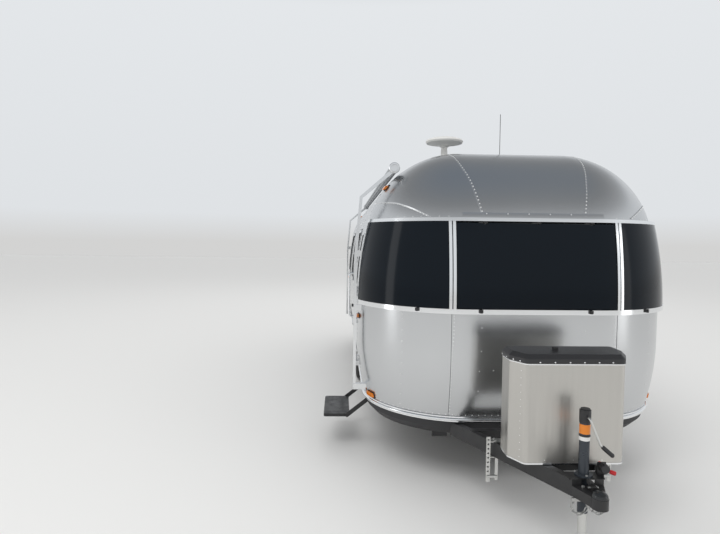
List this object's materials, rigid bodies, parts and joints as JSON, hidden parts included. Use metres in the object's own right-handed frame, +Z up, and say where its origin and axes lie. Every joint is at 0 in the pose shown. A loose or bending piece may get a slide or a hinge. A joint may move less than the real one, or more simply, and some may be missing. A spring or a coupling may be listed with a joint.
{
  "type": "travel caravan",
  "caption": "Round-ended riveted aluminium travel caravan with wrap-round guarded front windows, side door, bottle box and a tongue with jack and coupler.",
  "frame": {"origin": "ground point under the centre of the tongue jack's foot, on the centre plane", "axes": "+Y runs from the coupler to the tail, +Z is up, -X is the door side"},
  "size_m": [2.8924, 7.961, 3.044],
  "materials": {
    "shell": "polished sheet with rivets",
    "bright": "bright extrusion",
    "glass": "tinted",
    "smoked": "dark smoked sheet",
    "trim": "black",
    "floor": "satin",
    "belly": "matt black sheet",
    "black_steel": "semi-gloss black",
    "zinc": "zinc plated",
    "sheet": "brushed sheet",
    "black_lid": "grained black",
    "bottle": "white paint",
    "step": "black with grip strips",
    "awning": "rolled cloth",
    "white_plastic": "white",
    "vent": "smoked lid",
    "amber": "lamp lens",
    "red": "lamp lens",
    "tyre": "black rubber",
    "wheel": "machined"
  },
  "bodies": {
    "shell": {"air_conditioner": "white_plastic", "antennas": "white_plastic", "awning_arms": "bright", "awning_roller": "awning", "axles": "black_steel", "belly_pan": "belly", "bumper": "black_steel", "corner_guards": "smoked", "coupler": "black_steel", "curb_wall": "shell", "floor": "floor", "front_cap": "shell", "front_lower_panel": "shell", "gas_bottles": "bottle", "gas_box": "sheet", "grab_handle": "bright", "guard_latches": "black_steel", "hitch_brackets": "zinc", "jack_crank": "zinc", "jack_housing": "black_steel", "marker_lamps": "amber", "rear_cap": "shell", "rear_lower_panel": "shell", "roof_panel": "shell", "rub_rail": "bright", "safety_chains": "zinc", "service_hatches": "shell", "street_wall": "shell", "tail_lamps": "red", "tongue_fittings": "trim", "tongue_rails": "black_steel", "underbody_brackets": "black_steel", "vent_frames": "white_plastic", "wheel_wells": "black_steel", "window_frames": "trim", "window_glass": "glass", "window_rails": "bright"},
    "bumper_lid": {"bumper_lid": "sheet"},
    "centre_guard": {"centre_guard": "smoked"},
    "door": {"door": "shell", "door_glass": "glass", "door_handle": "trim"},
    "gas_lid": {"gas_lid": "black_lid"},
    "jack_leg": {"jack_leg": "zinc"},
    "wheel_curb_front": {"rim_curb_front": "wheel", "tyre_curb_front": "tyre"},
    "wheel_curb_rear": {"rim_curb_rear": "wheel", "tyre_curb_rear": "tyre"},
    "wheel_street_front": {"rim_street_front": "wheel", "tyre_street_front": "tyre"},
    "wheel_street_rear": {"rim_street_rear": "wheel", "tyre_street_rear": "tyre"},
    "stabiliser_curb_front_leg": {"stabiliser_curb_front": "black_steel"},
    "stabiliser_curb_rear_leg": {"stabiliser_curb_rear": "black_steel"},
    "stabiliser_street_front_leg": {"stabiliser_street_front": "black_steel"},
    "stabiliser_street_rear_leg": {"stabiliser_street_rear": "black_steel"},
    "step_arms": {"step_arms": "black_steel"},
    "step_tread": {"step_tread": "step"},
    "vent_lid_front": {"vent_lid_front": "vent"},
    "vent_lid_rear": {"vent_lid_rear": "vent"}
  },
  "joints": [
    {"name": "door_hinge", "type": "hinge", "parent": "shell", "child": "door", "pos_m": [-1.298, 1.7, 1.2], "axis": [0, 0, 1], "range_deg": [0, 115]},
    {"name": "centre_guard_hinge", "type": "hinge", "parent": "shell", "child": "centre_guard", "pos_m": [0, 0.85688, 2.036], "axis": [-1, 0, 0], "range_deg": [0, 75]},
    {"name": "gas_lid_hinge", "type": "hinge", "parent": "shell", "child": "gas_lid", "pos_m": [0, 0.449, 1.151], "axis": [-1, 0, 0], "range_deg": [0, 80]},
    {"name": "jack_slide", "type": "slide", "parent": "shell", "child": "jack_leg", "axis": [0, 0, 1], "range_m": [-0.12, 0.27]},
    {"name": "step_fold", "type": "hinge", "parent": "shell", "child": "step_arms", "pos_m": [-1.165, 2.03, 0.47], "axis": [0, -1, 0], "range_deg": [0, 118]},
    {"name": "step_tread_level", "type": "hinge", "parent": "step_arms", "child": "step_tread", "pos_m": [-1.38, 2.03, 0.305], "axis": [0, -1, 0], "range_deg": [-118, 0]},
    {"name": "vent_lid_front_hinge", "type": "hinge", "parent": "shell", "child": "vent_lid_front", "pos_m": [0, 3.08, 2.706], "axis": [-1, 0, 0], "range_deg": [0, 70]},
    {"name": "vent_lid_rear_hinge", "type": "hinge", "parent": "shell", "child": "vent_lid_rear", "pos_m": [0, 5.76, 2.706], "axis": [-1, 0, 0], "range_deg": [0, 70]},
    {"name": "bumper_lid_hinge", "type": "hinge", "parent": "shell", "child": "bumper_lid", "pos_m": [0, 7.54, 0.535], "axis": [1, 0, 0], "range_deg": [0, 85]},
    {"name": "wheel_street_front_spin", "type": "hinge", "parent": "shell", "child": "wheel_street_front", "pos_m": [1.1, 4.28, 0.362], "axis": [1, 0, 0], "continuous": true},
    {"name": "wheel_street_rear_spin", "type": "hinge", "parent": "shell", "child": "wheel_street_rear", "pos_m": [1.1, 5.12, 0.362], "axis": [1, 0, 0], "continuous": true},
    {"name": "stabiliser_street_front_hinge", "type": "hinge", "parent": "shell", "child": "stabiliser_street_front_leg", "pos_m": [0.64, 1.56, 0.382], "axis": [1, 0, 0], "range_deg": [0, 57]},
    {"name": "stabiliser_street_rear_hinge", "type": "hinge", "parent": "shell", "child": "stabiliser_street_rear_leg", "pos_m": [0.64, 6.8, 0.382], "axis": [-1, 0, 0], "range_deg": [0, 57]},
    {"name": "wheel_curb_front_spin", "type": "hinge", "parent": "shell", "child": "wheel_curb_front", "pos_m": [-1.1, 4.28, 0.362], "axis": [1, 0, 0], "continuous": true},
    {"name": "wheel_curb_rear_spin", "type": "hinge", "parent": "shell", "child": "wheel_curb_rear", "pos_m": [-1.1, 5.12, 0.362], "axis": [1, 0, 0], "continuous": true},
    {"name": "stabiliser_curb_front_hinge", "type": "hinge", "parent": "shell", "child": "stabiliser_curb_front_leg", "pos_m": [-0.64, 1.56, 0.382], "axis": [1, 0, 0], "range_deg": [0, 57]},
    {"name": "stabiliser_curb_rear_hinge", "type": "hinge", "parent": "shell", "child": "stabiliser_curb_rear_leg", "pos_m": [-0.64, 6.8, 0.382], "axis": [-1, 0, 0], "range_deg": [0, 57]}
  ],
  "couplings": [
    {"joint": "step_tread_level", "follows": "step_fold", "ratio": -1}
  ]
}
